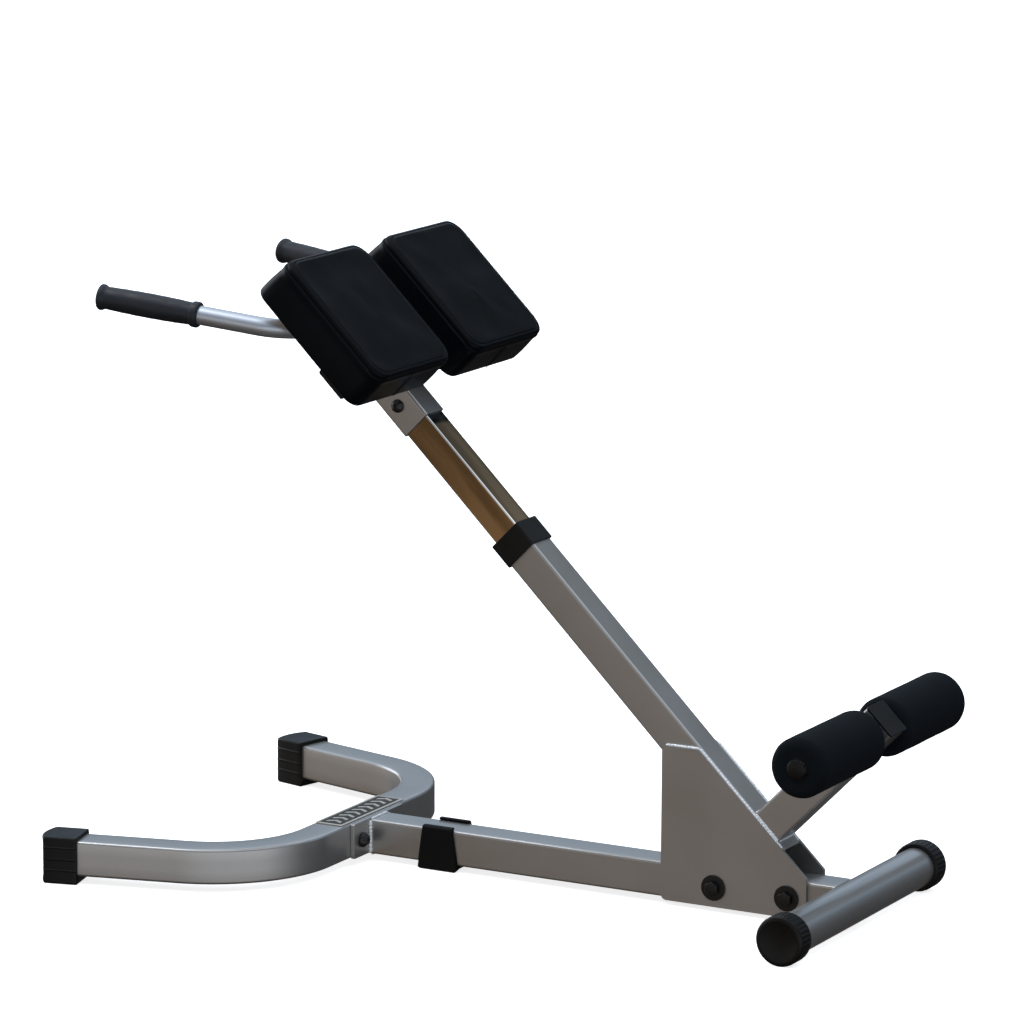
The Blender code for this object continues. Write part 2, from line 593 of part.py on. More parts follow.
def pad(side, s, frame):
    """Thick cushion wrapped round its board: rounded plan, straight boxing, crowned top."""
    half_a, half_b = (PAD_TOP - PAD_LOW) / 2, (PAD_OUT - PAD_IN) / 2
    centre = ((PAD_LOW + PAD_TOP) / 2, s * (PAD_IN + PAD_OUT) / 2, 0)
    rings = []
    for height, inset, radius in ((0, 3, 19), (4, 0, 22), (PAD_THICK - 24, 1.5, 22), (PAD_THICK - 9, 5, 22),
                                  (PAD_THICK - 3, 10, 22), (PAD_THICK + 0.5, 17, 20),
                                  (PAD_THICK + PAD_CROWN * 0.75, 38, 16), (PAD_THICK + PAD_CROWN, 66, 10)):
        rings.append(place(rounded(half_a - inset, half_b - inset, radius, 5), "z", PAD_OFF + height, centre))
    cushion = solid(f"pad_{side}", *skin(rings), VINYL, frame)
    pocket = bar(f"pocket_pad_{side}", "z", PAD_OFF - 5, PAD_OFF + BOARD_T + GAP,
                 rounded(half_a - 14 + GAP, half_b - 14 + GAP, 14), None, centre, frame=frame, cutter=True)
    cut(cushion, [pocket])


def handlebar(tabs):
    """One bent bar under both pads, with welded pad tabs and a rubber grip on each end."""
    origin = to_world(BAR_ALONG, 0, TUBE / 2 + GAP + BAR_R)
    corner = Vector((origin.x, BAR_CORNER_Y, origin.z))
    end = Vector(GRIP_END)
    leg = (end - corner).normalized()
    cross = Vector((0, 1, 0))
    turn = cross.angle(leg)
    back = BAR_BEND_R * math.tan(turn / 2)
    normal = cross.cross(leg).normalized()
    centre = corner - cross * back + normal.cross(cross).normalized() * BAR_BEND_R
    half = []
    steps = 8
    for i in range(steps + 1):
        spin = Matrix.Rotation(turn * i / steps, 3, normal)
        half.append((centre + spin @ (corner - cross * back - centre), spin @ cross))
    half.append((end - leg * 3.0, leg))
    flip = Matrix.Diagonal((1, -1, 1))
    left = [(flip @ p, -(flip @ h)) for p, h in reversed(half)]
    outer, inner = [], []
    for point, heading in left + half:
        other = heading.cross(normal)
        outer.append([point + normal * p + other * q for p, q in circle(BAR_R, 18)])
        inner.append([point + normal * p + other * q for p, q in circle(BAR_R - 2.0, 18)])
    tube = solid("handlebar", *pipe(outer, inner), ((0.6, 0.6, 0.6), 0.9, 0.25))
    for tab, hole in tabs:
        weld(tube, [tab])
        cut(tube, [hole])
    for name, sign in SIDES:
        holder = bpy.data.objects.new(f"grip_axis_{name}", None)
        heading = Vector((leg.x, sign * leg.y, leg.z))
        holder.location = Vector((end.x, sign * end.y, end.z)) * MM
        holder.rotation_euler = (-heading).to_track_quat("X", "Z").to_euler()
        bpy.context.scene.collection.objects.link(holder)
        inside = BAR_R + GAP
        lathe(f"grip_{name}", "x", [(-0.5, 0), (0, 14.0), (1.5, 17.4), (4, 18.6), (8, 17.6), (11, 15.9), (40, 16.8),
                                    (75, 17.2), (GRIP_LONG - 12, 16.0), (GRIP_LONG - 9, 17.9), (GRIP_LONG - 2, 18.2),
                                    (GRIP_LONG, 17.0), (GRIP_LONG, inside), (2.7, inside), (2.7, 0)], RUBBER,
              (0, 0, 0), 24, holder)


def main():
    clear_scene()
    frame = upright_frame()
    front_frame()
    drills = base_and_rear()
    mid_foot()
    nameplate()
    gussets(drills)
    upright_and_arm(frame)
    rollers(frame)
    pull_pin(frame)
    handlebar(carriage(frame))


main()
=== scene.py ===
import json
import math

import bmesh
import bpy
import numpy as np
from mathutils import Matrix, Vector, noise


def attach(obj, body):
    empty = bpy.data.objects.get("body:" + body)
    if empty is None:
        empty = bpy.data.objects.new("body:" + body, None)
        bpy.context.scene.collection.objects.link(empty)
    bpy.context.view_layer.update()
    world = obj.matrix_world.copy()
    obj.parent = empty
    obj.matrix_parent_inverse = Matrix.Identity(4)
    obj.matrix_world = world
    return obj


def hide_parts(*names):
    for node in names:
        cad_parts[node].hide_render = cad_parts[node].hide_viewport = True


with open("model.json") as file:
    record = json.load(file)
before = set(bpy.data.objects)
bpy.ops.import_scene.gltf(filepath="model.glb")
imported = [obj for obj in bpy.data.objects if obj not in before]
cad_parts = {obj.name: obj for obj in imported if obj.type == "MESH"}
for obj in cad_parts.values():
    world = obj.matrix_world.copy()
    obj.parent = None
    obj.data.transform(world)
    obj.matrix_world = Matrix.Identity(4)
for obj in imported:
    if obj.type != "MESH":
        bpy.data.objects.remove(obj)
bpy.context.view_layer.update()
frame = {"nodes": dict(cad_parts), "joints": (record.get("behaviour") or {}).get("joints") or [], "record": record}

MM = 0.001
joints = {j["name"]: j for j in frame["joints"]}

# The upright's own frame: UP runs along the tube, OUT is square to it, and FOOT is its zero point.
UP = Vector(joints["height_slide"]["axis"]).normalized()
OUT = Vector((UP.z, 0, -UP.x))
FOOT = Vector(joints["height_slide"]["pos_m"]) - UP * 0.585
AXLE = Vector(joints["roller_left_spin"]["pos_m"])

TUBE = 50.8
REAR_X = 518.1
FLANGE_X = REAR_X - 749.4
FRONT_X = FLANGE_X - 6.3
U_Z = (11.6, 62.4)
SIDES = (("l", -1), ("r", 1))


def leaning(along, y, off):
    """A point in the upright's frame, from millimetres."""
    return FOOT + UP * (along * MM) + OUT * (off * MM) + Vector((0, y * MM, 0))


# ---------------------------------------------------------------- materials

def tree(name, **inputs):
    """A new material: returns it, its node tree and its shader, with the given sockets set."""
    mat = bpy.data.materials.new(name)
    mat.use_nodes = True
    shader = mat.node_tree.nodes["Principled BSDF"]
    for key, value in inputs.items():
        socket = shader.inputs[key.replace("_", " ")]
        socket.default_value = (*value, 1.0) if isinstance(value, tuple) else value
    return mat, mat.node_tree, shader


def coords(nt, scale=(1, 1, 1)):
    """The piece's own coordinates, scaled."""
    source = nt.nodes.new("ShaderNodeTexCoord")
    mapping = nt.nodes.new("ShaderNodeMapping")
    mapping.inputs["Scale"].default_value = scale
    nt.links.new(source.outputs["Object"], mapping.inputs["Vector"])
    return mapping.outputs["Vector"]


def noise_of(nt, vector, scale, detail=4.0, rough=0.55):
    tex = nt.nodes.new("ShaderNodeTexNoise")
    tex.inputs["Scale"].default_value = scale
    tex.inputs["Detail"].default_value = detail
    tex.inputs["Roughness"].default_value = rough
    nt.links.new(vector, tex.inputs["Vector"])
    return tex.outputs["Fac"]


def span(nt, value, low, high, to_low, to_high):
    node = nt.nodes.new("ShaderNodeMapRange")
    for key, number in (("From Min", low), ("From Max", high), ("To Min", to_low), ("To Max", to_high)):
        node.inputs[key].default_value = number
    nt.links.new(value, node.inputs["Value"])
    return node.outputs["Result"]


def dot(nt, vector, direction):
    node = nt.nodes.new("ShaderNodeVectorMath")
    node.operation = "DOT_PRODUCT"
    node.inputs[1].default_value = direction
    nt.links.new(vector, node.inputs[0])
    return node.outputs["Value"]


def blend_colour(nt, value, low, high):
    """Mixes two colours, each given as a tuple or as another node's output."""
    node = nt.nodes.new("ShaderNodeMix")
    node.data_type = "RGBA"
    for key, colour in (("A", low), ("B", high)):
        if isinstance(colour, tuple):
            node.inputs[key].default_value = (*colour, 1)
        else:
            nt.links.new(colour, node.inputs[key])
    nt.links.new(value, node.inputs["Factor"])
    return node.outputs["Result"]


def tint(nt, shader, value, low, high):
    nt.links.new(blend_colour(nt, value, low, high), shader.inputs["Base Color"])


def gloss(nt, shader, value, low, high, smooth, rough):
    """Drives the roughness from smooth to rough as value goes from low to high."""
    nt.links.new(span(nt, value, low, high, smooth, rough), shader.inputs["Roughness"])


def bump(nt, shader, *layers):
    """Stacked bumps from (height, strength, distance in metres)."""
    last = None
    for height, strength, distance in layers:
        node = nt.nodes.new("ShaderNodeBump")
        node.inputs["Strength"].default_value = strength
        node.inputs["Distance"].default_value = distance
        nt.links.new(height, node.inputs["Height"])
        if last:
            nt.links.new(last, node.inputs["Normal"])
        last = node.outputs["Normal"]
    nt.links.new(last, shader.inputs["Normal"])


def paint_material():
    """Metallic grey powder coat: fine flake, faint orange peel, patches rubbed slightly smoother."""
    mat, nt, shader = tree("paint_grey", Metallic=0.8, Coat_Weight=0.5, Coat_Roughness=0.12)
    here = coords(nt)
    flake = noise_of(nt, here, 2600, 2, 0.7)
    cloud = noise_of(nt, here, 9, 5)
    tint(nt, shader, span(nt, flake, 0.35, 0.65, 0, 1), (0.315, 0.307, 0.300), (0.385, 0.377, 0.370))
    gloss(nt, shader, cloud, 0.3, 0.7, 0.33, 0.40)
    bump(nt, shader, (noise_of(nt, here, 420, 2), 0.10, 0.0004), (flake, 0.05, 0.0001))
    return mat


def weld_material():
    mat, nt, shader = tree("weld_bead", Metallic=0.3, Roughness=0.25)
    here = coords(nt)
    tint(nt, shader, noise_of(nt, here, 240, 3), (0.62, 0.64, 0.67), (0.95, 0.96, 0.98))
    bump(nt, shader, (noise_of(nt, here, 900, 3), 0.3, 0.0004))
    return mat


def chrome_material():
    """Plated tube, hazy in streaks along its length, with painted shade darkening its colour towards its top,
    under the sleeve.
    """
    mat, nt, shader = tree("chrome", Metallic=1.0)
    here = coords(nt)
    # painted shade: the tube's colour darkens from along 640 mm to along 860 mm, towards the sleeve
    unshaded_at, shaded_at = (UP.dot(leaning(along, 0, 0)) for along in (640, 860))
    joined = nt.nodes.new("ShaderNodeCombineXYZ")
    for socket, direction in (("X", UP * 0.12), ("Y", Vector((0, 1, 0))), ("Z", OUT)):
        nt.links.new(dot(nt, here, direction), joined.inputs[socket])
    haze = noise_of(nt, joined.outputs["Vector"], 34, 4, 0.5)
    haze_and_shade = nt.nodes.new("ShaderNodeMath")
    haze_and_shade.operation = "MULTIPLY"
    nt.links.new(span(nt, haze, 0.36, 0.60, 0.3, 1), haze_and_shade.inputs[0])
    # painted shade: the streaked colour is scaled from 1 down to 0.35 towards the top of the tube
    nt.links.new(span(nt, dot(nt, here, UP), unshaded_at, shaded_at, 1, 0.35), haze_and_shade.inputs[1])
    tint(nt, shader, haze_and_shade.outputs["Value"], (0.34, 0.34, 0.34), (0.95, 0.90, 0.84))
    gloss(nt, shader, haze, 0.35, 0.8, 0.05, 0.14)
    bump(nt, shader, (noise_of(nt, here, 9, 2), 0.22, 0.002), (haze, 0.06, 0.001))
    return mat


def satin_material():
    mat, nt, shader = tree("bar_satin", Base_Color=(0.43, 0.46, 0.51), Metallic=0.8)
    here = coords(nt)
    gloss(nt, shader, noise_of(nt, here, 60, 6, 0.7), 0.3, 0.8, 0.34, 0.44)
    bump(nt, shader, (noise_of(nt, here, 1500, 2), 0.06, 0.0002))
    return mat


def plastic_material(name, colour, rough, grain=1700, depth=0.00012, shine=0.22):
    mat, nt, shader = tree(name, Specular_IOR_Level=shine)
    here = coords(nt)
    cloud = noise_of(nt, here, 35, 5)
    tint(nt, shader, cloud, tuple(c * 0.8 for c in colour), tuple(c * 1.3 for c in colour))
    gloss(nt, shader, cloud, 0.3, 0.7, rough - 0.05, rough + 0.06)
    bump(nt, shader, (noise_of(nt, here, grain, 3), 0.5, depth))
    return mat


def vinyl_material():
    """Smooth upholstery vinyl: fine leather pebble and a slow change of gloss."""
    mat, nt, shader = tree("pad_vinyl", Specular_IOR_Level=0.11, IOR=1.35)
    here = coords(nt)
    cells = nt.nodes.new("ShaderNodeTexVoronoi")
    cells.feature = "DISTANCE_TO_EDGE"
    cells.inputs["Scale"].default_value = 620
    nt.links.new(here, cells.inputs["Vector"])
    cloud = noise_of(nt, here, 12, 5)
    tint(nt, shader, cloud, (0.0010, 0.0018, 0.0030), (0.0024, 0.0034, 0.0050))
    gloss(nt, shader, cloud, 0.3, 0.7, 0.30, 0.37)
    bump(nt, shader, (cells.outputs["Distance"], 0.16, 0.00025), (noise_of(nt, here, 45, 3), 0.10, 0.0012))
    return mat


def foam_material():
    mat, nt, shader = tree("roller_foam", Roughness=0.9, Specular_IOR_Level=0.12)
    here = coords(nt)
    pores = noise_of(nt, here, 760, 4, 0.75)
    tint(nt, shader, pores, (0.0008, 0.0018, 0.0032), (0.0056, 0.0084, 0.0120))
    bump(nt, shader, (pores, 0.55, 0.0005), (noise_of(nt, here, 130, 3), 0.25, 0.0010))
    return mat


def grip_material():
    """Soft rubber, handled glossy along its length in streaks."""
    mat, nt, shader = tree("grip_rubber", Specular_IOR_Level=0.34)
    here = coords(nt, (0.25, 1, 1))
    streak = noise_of(nt, here, 170, 6, 0.7)
    tint(nt, shader, streak, (0.004, 0.006, 0.010), (0.013, 0.016, 0.024))
    gloss(nt, shader, streak, 0.35, 0.65, 0.42, 0.60)
    bump(nt, shader, (streak, 0.35, 0.0006))
    return mat


def bolt_material():
    mat, nt, shader = tree("bolt_black", Metallic=0.4)
    here = coords(nt)
    wear = noise_of(nt, here, 260, 5)
    tint(nt, shader, wear, (0.004, 0.004, 0.004), (0.014, 0.014, 0.015))
    gloss(nt, shader, wear, 0.3, 0.7, 0.28, 0.42)
    bump(nt, shader, (wear, 0.2, 0.0002))
    return mat


def plate_material():
    mat, nt, shader = tree("plate_metal", Metallic=0.5)
    here = coords(nt, (1, 14, 1))
    brushed = noise_of(nt, here, 160, 5)
    tint(nt, shader, brushed, (0.34, 0.325, 0.295), (0.52, 0.50, 0.47))
    gloss(nt, shader, brushed, 0.3, 0.7, 0.35, 0.5)
    bump(nt, shader, (brushed, 0.15, 0.0002))
    return mat


def plywood_material():
    mat, nt, shader = tree("board_wood", Roughness=0.7)
    here = coords(nt, (3, 40, 3))
    grain = noise_of(nt, here, 6, 8, 0.7)
    tint(nt, shader, grain, (0.28, 0.18, 0.10), (0.52, 0.38, 0.23))
    bump(nt, shader, (grain, 0.3, 0.0005))
    return mat


PAINT = paint_material()
WELD = weld_material()
CHROME = chrome_material()
SATIN = satin_material()
CAP = plastic_material("cap_plastic", (0.0034, 0.0033, 0.0033), 0.40, shine=0.19)
RUBBER = plastic_material("foot_rubber", (0.0026, 0.0024, 0.0023), 0.62, 900, 0.0003, 0.14)
VINYL = vinyl_material()
FOAM = foam_material()
GRIP = grip_material()
BOLT = bolt_material()
PLATE = plate_material()
ETCHED = plastic_material("plate_recess", (0.030, 0.026, 0.020), 0.6)
WOOD = plywood_material()
SEAM = plastic_material("seam_dark", (0.0012, 0.0012, 0.0014), 0.7)
THREAD = plastic_material("stitch_thread", (0.007, 0.008, 0.010), 0.6, 2600, 0.0001)

SLOT_LOOK = {"frame_paint": PAINT, "axle_steel": SATIN, "bar_steel": SATIN, "chrome": CHROME,
             "cap_plastic": CAP, "foot_rubber": RUBBER, "grip_rubber": GRIP, "bolt_black": BOLT,
             "plate_metal": PLATE, "foam": FOAM, "vinyl": VINYL, "board_wood": WOOD}

PLATE_NODES = ("gusset_l", "gusset_r", "front_flange")

for part in frame["record"]["subparts"]:
    node = frame["nodes"][part["node"]]
    for material_slot in node.material_slots:
        material_slot.material = SLOT_LOOK[part["material_slot"]]
    if not node.data.materials:
        node.data.materials.append(SLOT_LOOK[part["material_slot"]])
    merge = node.modifiers.new("merge", "WELD")
    merge.merge_threshold = 0.00001
    edge = node.modifiers.new("edge", "BEVEL")
    edge.width, edge.segments = (0.0012, 3) if part["node"] in PLATE_NODES else (0.0005, 2)
    edge.limit_method, edge.angle_limit = "ANGLE", math.radians(50)
    edge.use_clamp_overlap = True
    node.modifiers.new("shade", "WEIGHTED_NORMAL")


# ---------------------------------------------------------------- mesh helpers

def build(name, verts, faces, look, body, slot, stands_for=(), sharp=35, bevel=0.0):
    """A piece from points in metres, riding on a body."""
    mesh = bpy.data.meshes.new(name)
    mesh.from_pydata([tuple(v) for v in verts], [], faces)
    work = bmesh.new()
    work.from_mesh(mesh)
    bmesh.ops.recalc_face_normals(work, faces=work.faces)
    work.to_mesh(mesh)
    work.free()
    mesh.materials.append(look)
    mesh.shade_smooth()
    mesh.set_sharp_from_angle(angle=math.radians(sharp))
    obj = bpy.data.objects.new(name, mesh)
    bpy.context.scene.collection.objects.link(obj)
    if bevel:
        edge = obj.modifiers.new("edge", "BEVEL")
        edge.width, edge.segments = bevel, 2
        edge.limit_method, edge.angle_limit = "ANGLE", math.radians(40)
        edge.harden_normals = True
    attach(obj, body)
    if stands_for:
        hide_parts(*stands_for)
    return obj


def skin(rings):
    """Points and faces of a run of rings, closed at both ends."""
    count = len(rings[0])
    verts = [p for ring in rings for p in ring]
    faces = []
    for start in range(0, count * (len(rings) - 1), count):
        after = start + count
        for j in range(count):
            k = (j + 1) % count
            faces.append((start + j, start + k, after + k, after + j))
    faces.append(tuple(range(count)))
    faces.append(tuple((len(rings) - 1) * count + j for j in range(count)))
    return verts, faces


def rounded(half_a, half_b, radius, steps=6):
    """Outline of a rectangle with rounded corners."""
    ring = []
    for ca, cb, start in ((1, 1, 0), (-1, 1, 90), (-1, -1, 180), (1, -1, 270)):
        for i in range(steps + 1):
            t = math.radians(start + 90 * i / steps)
            ring.append((ca * (half_a - radius) + radius * math.cos(t),
                         cb * (half_b - radius) + radius * math.sin(t)))
    return ring


def spread(ring, step):
    """A ring resampled so that no side is longer than step."""
    out = []
    for a, b in zip(ring, ring[1:] + ring[:1]):
        count = max(1, math.ceil(math.dist(a, b) / step))
        for k in range(count):
            out.append((a[0] + (b[0] - a[0]) * k / count, a[1] + (b[1] - a[1]) * k / count))
    return out


def circle(radius, count):
    turns = (math.tau * i / count for i in range(count))
    return [(radius * math.cos(t), radius * math.sin(t)) for t in turns]


def turned(name, origin, axis, profile, look, body, slot, stands_for=(), count=64, wave=None, sharp=35):
    """A closed profile of (distance, radius) in millimetres, turned about an axis.

    wave(distance, radius, angle) gives an extra radius."""
    axis = Vector(axis).normalized()
    side = axis.orthogonal().normalized()
    other = axis.cross(side)
    verts, rows = [], []
    for t, r in profile:
        if r <= 0:
            rows.append([len(verts)] * count)
            verts.append(origin + axis * t * MM)
            continue
        rows.append(list(range(len(verts), len(verts) + count)))
        for i in range(count):
            a = math.tau * i / count
            reach = (r + (wave(t, r, a) if wave else 0)) * MM
            verts.append(origin + axis * t * MM + (side * math.cos(a) + other * math.sin(a)) * reach)
    faces = []
    for i, row in enumerate(rows):
        after = rows[(i + 1) % len(rows)]
        if profile[i][1] <= 0 and profile[(i + 1) % len(rows)][1] <= 0:
            continue
        for j in range(count):
            k = (j + 1) % count
            face = []
            for v in (row[j], row[k], after[k], after[j]):
                if v not in face:
                    face.append(v)
            faces.append(tuple(face))
    return build(name, verts, faces, look, body, slot, stands_for, sharp)


def swept(name, path, section, normal, look, body, slot, stands_for=(), sharp=40):
    """A section in millimetres carried along (point, heading) pairs, with one fixed normal."""
    rings = []
    for point, heading in path:
        side = normal.cross(heading).normalized()
        rings.append([point + side * (p * MM) + normal * (q * MM) for p, q in section])
    verts, faces = skin(rings)
    return build(name, verts, faces, look, body, slot, stands_for, sharp)


def bead(name, points, radius, body, seed=0.0):
    """A weld bead: a lumpy rounded cord of overlapping scallops along the points, in metres."""
    line = []
    for a, b in zip(points, points[1:]):
        steps = max(2, round((b - a).length / 0.0006))
        line += [a.lerp(b, k / steps) for k in range(steps)]
    line.append(points[-1])
    rings, travelled = [], 0.0
    for i, p in enumerate(line):
        ahead = (line[min(i + 1, len(line) - 1)] - line[max(i - 1, 0)]).normalized()
        if i:
            travelled += (p - line[i - 1]).length
        side = ahead.orthogonal().normalized()
        other = ahead.cross(side)
        scallop = 0.86 + 0.14 * abs(math.sin(travelled / 0.0026 * math.pi / 2 + seed))
        lump = 1 + 0.16 * noise.noise(p * 240 + Vector((seed, 0, 0)))
        end = min(1.0, 0.35 + 0.65 * min(i, len(line) - 1 - i) / 5)
        reach = radius * MM * scallop * lump * end
        rings.append([p + (side * math.cos(a) + other * math.sin(a)) * reach
                      for a in (math.tau * k / 10 for k in range(10))])
    verts, faces = skin(rings)
    return build(name, verts, faces, WELD, body, "frame_paint", sharp=80)


# ---------------------------------------------------------------- camera

def add_camera():
    azimuth, elevation, roll = math.radians(28.44), math.radians(11.41), math.radians(0.34)
    back = Vector((math.sin(azimuth) * math.cos(elevation), -math.cos(azimuth) * math.cos(elevation),
                   math.sin(elevation)))
    right = Vector((math.cos(azimuth), math.sin(azimuth), 0))
    up = back.cross(right)
    right, up = right * math.cos(roll) + up * math.sin(roll), up * math.cos(roll) - right * math.sin(roll)
    data = bpy.data.cameras.new("camera")
    data.lens, data.sensor_width = 195.36, 36.0
    data.shift_x, data.shift_y = 0.0008, 0.0015
    data.clip_start, data.clip_end = 0.1, 200
    camera = bpy.data.objects.new("camera", data)
    matrix = Matrix((right, up, back)).transposed().to_4x4()
    matrix.translation = Vector((-0.0157, 0.0002, 0.5204)) + back * 7.798
    camera.matrix_world = matrix
    bpy.context.scene.collection.objects.link(camera)
    bpy.context.scene.camera = camera


add_camera()


# ---------------------------------------------------------------- floor frame

def front_tube():
    x, radius, turn = FRONT_X - TUBE / 2, 163.5, math.radians(75.5)
    half = [(Vector((x, 0, 0)), Vector((0, 1, 0)))]
    for i in range(41):
        t = turn * i / 40
        half.append((Vector((x - radius + radius * math.cos(t), 125.5 + radius * math.sin(t), 0)),
                     Vector((-math.sin(t), math.cos(t), 0))))
    end, heading = half[-1]
    half.append((end + heading * 186, heading))
    path = [(Vector((p.x, -p.y, 0)), Vector((-h.x, h.y, 0))) for p, h in reversed(half[1:])] + half
    path = [(p * MM + Vector((0, 0, sum(U_Z) / 2 * MM)), h) for p, h in path]
    section = spread(rounded(TUBE / 2, TUBE / 2, 4.5, 8), 14)
    swept("front_tube_skin", path, section, Vector((0, 0, 1)), PAINT, "frame", "frame_paint", ["front_tube"])
    return path


def front_cap(side, end, heading):
    """Moulded foot with thin raised ribs round its sides and bowed end."""
    across, up = Vector((0, 0, 1)).cross(heading), Vector((0, 0, 1))
    start = Vector((end.x, end.y, 0)) - heading * 0.039
    half_w, half_h = TUBE / 2 + 5.0, (U_Z[1] + 5.6) / 2
    section = spread(rounded(half_w, half_h, 3.2, 6), 0.6)
    ribs = (-13.7, 1.7, 18.9)
    rings = []
    rows = [(0.0, 1.4, 0.0), (0.5, 0.4, 0.0), (1.4, 0.0, 0.0), (6, 0.0, 0.0), (25, 0.0, 0.0),
            (45.5, 0.0, 6.2), (47.5, 0.5, 6.6), (49.1, 1.5, 6.9), (49.9, 3.0, 7.1), (50.3, 5.6, 7.2)]
    for at, inset, bow in rows:
        ring = []
        for p, q in section:
            shrink_p, shrink_q = 1 - inset / half_w, 1 - inset / half_h
            rib = 0.0
            if abs(p) > half_w - 2.5:
                rib = max(0.0, 1 - min(abs(q - r) for r in ribs) / 1.1) * 1.1
            p2 = p * shrink_p + math.copysign(rib, p)
            tip = bow * (1 - (p / half_w) ** 2)
            ring.append(start + heading * ((at + tip) * MM) + across * (p2 * MM)
                        + up * ((half_h + q * shrink_q) * MM))
        rings.append(ring)
    verts, faces = skin(rings)
    for v in verts:
        v.z = max(v.z, 0.0)
    build(f"front_cap_{side}_skin", verts, faces, CAP, "frame", "cap_plastic", [f"front_cap_{side}"], 50)


def front_end(path):
    for side, index in (("l", 0), ("r", -1)):
        end, heading = path[index]
        front_cap(side, end, -heading if index == 0 else heading)


def rear_cap(side, sign):
    """Push-on round foot, ribbed round its rim."""
    def ribs(t, r, a):
        if r < 33 or abs(t) > 232 or abs(t) < 206:
            return 0.0
        return -1.3 * max(0.0, math.cos(a * 32)) ** 3
    low, high = 204.5, 235.5
    profile = [(low, 29), (low, 33.2), (low + 1.2, 34.4), (low + 2.4, 34.8), (low + 4, 35),
               (high - 4.5, 35), (high - 3, 34.7), (high - 1.5, 33.6), (high - 0.6, 32.2), (high, 30),
               (high, 27.5), (high - 0.5, 26.5), (high - 0.5, 0), (low + 8, 0), (low + 8, 29)]
    origin = Vector((REAR_X * MM, 0, 0.035))
    turned(f"rear_cap_{side}_skin", origin, (0, sign, 0), profile, CAP, "frame", "cap_plastic",
           [f"rear_cap_{side}"], 240, ribs, 50)


def bolt(node, origin, axis, seat, end, shank, radius, rise, body):
    """Domed bolt with a shallow four-way drive in its head; seat and end are measured along the axis."""
    dome = ((0, 0.96), (0.16, 1.0), (0.30, 0.96), (0.50, 0.83), (0.74, 0.64), (0.94, 0.42), (0.90, 0.30),
            (0.66, 0.2), (0.64, 0))
    profile = [(seat + rise * a, radius * b) for a, b in dome] + [(end, 0), (end, shank), (seat, shank)]

    def drive(t, r, a):
        return 0.11 * r * math.cos(4 * a) if t > seat + rise * 0.4 else 0.0
    turned(f"{node}_skin", origin, axis, profile, BOLT, body, "bolt_black", [node], 64, drive, 25)


def bolts():
    face = TUBE / 2 + 0.3
    bolt("carriage_bolt", leaning(900, 0, -2), (0, -1, 0), face, -face - 13, 4.2, 9.6, 7.2, "carriage")
    for side, sign in SIDES:
        origin = Vector((FLANGE_X, sign * 47.5, 35.5)) * MM
        bolt(f"flange_bolt_{side}", origin, (1, 0, 0), 0.3, -70.1, 4.0, 10.8, 10.9, "frame")


def mid_foot():
    """Rubber saddle: two flaps that flare towards the floor, lips folded over the tube's top edges."""
    half = 29.7
    top = 64.6
    middle = REAR_X - 638.0
    inner = TUBE / 2 + 0.35
    outline = [(-half, 2), (-half + 2, 0), (-22, 0), (-20.5, 5.6), (20.5, 5.6), (22, 0), (half - 2, 0),
               (half, 2), (half, top - 2.5), (half - 2.5, top), (20.2, top), (20.2, top - 2.4),
               (inner - 3.0, 60.7), (inner, 57.5), (inner, 12.5), (inner - 3, 9.3), (-inner + 3, 9.3),
               (-inner, 12.5), (-inner, 57.5),
               (-inner + 3.0, 60.7), (-20.2, top - 2.4), (-20.2, top), (-half + 2.5, top), (-half, top - 2.5)]
    rows = 12
    rings = []
    for i in range(rows + 1):
        s = -1 + 2 * i / rows
        ring = []
        for y, z in outline:
            reach = 23.6 + 10.4 * (1 - z / top)
            corner = 7.0
            if z < corner:
                reach -= corner - math.sqrt(max(0.0, corner ** 2 - (corner - z) ** 2))
            ring.append(Vector((middle + s * reach, y, z)) * MM)
        rings.append(ring)
    verts, faces = skin(rings)
    build("mid_foot_skin", verts, faces, RUBBER, "frame", "foot_rubber", ["mid_foot"], 50, 0.0009)


def nameplate():
    """Bordered plate with a row of plain raised chevrons in a dark recess."""
    x, z = FRONT_X - TUBE / 2, U_Z[1] + 0.3
    border = [rounded(22, 89, 3), rounded(22, 89, 3), rounded(21.2, 88.2, 2.6), rounded(18.4, 85.4, 1.6),
              rounded(18.0, 85.0, 1.6)]
    heights = [0, 1.2, 1.6, 1.6, 0.8]
    rings = [[Vector((x + p, q, z + h)) * MM for p, q in ring] for ring, h in zip(border, heights)]
    verts, faces = skin(rings)
    build("nameplate_skin", verts, faces, PLATE, "frame", "plate_metal", ["nameplate"], 30)
    field = [[Vector((x + p, q, z + h)) * MM for p, q in rounded(17.9, 84.9, 1.6)] for h in (0.82, 0.86)]
    build("nameplate_field", *skin(field), ETCHED, "frame", "plate_metal", (), 30)
    verts, faces = [], []
    for i in range(9):
        y = -72 + 18 * i
        shape = [(-12, -4.5), (0, 2.5), (12, -4.5), (12, 1.5), (0, 8.5), (-12, 1.5)]
        base = len(verts)
        verts += [Vector((x + a, y + b, z + h)) * MM for h in (0.8, 1.5) for a, b in shape]
        faces += [tuple(base + k for k in range(6)), tuple(base + 6 + k for k in range(6))]
        faces += [(base + k, base + (k + 1) % 6, base + 6 + (k + 1) % 6, base + 6 + k) for k in range(6)]
    build("nameplate_chevrons", verts, faces, PLATE, "frame", "plate_metal", (), 30, 0.00025)


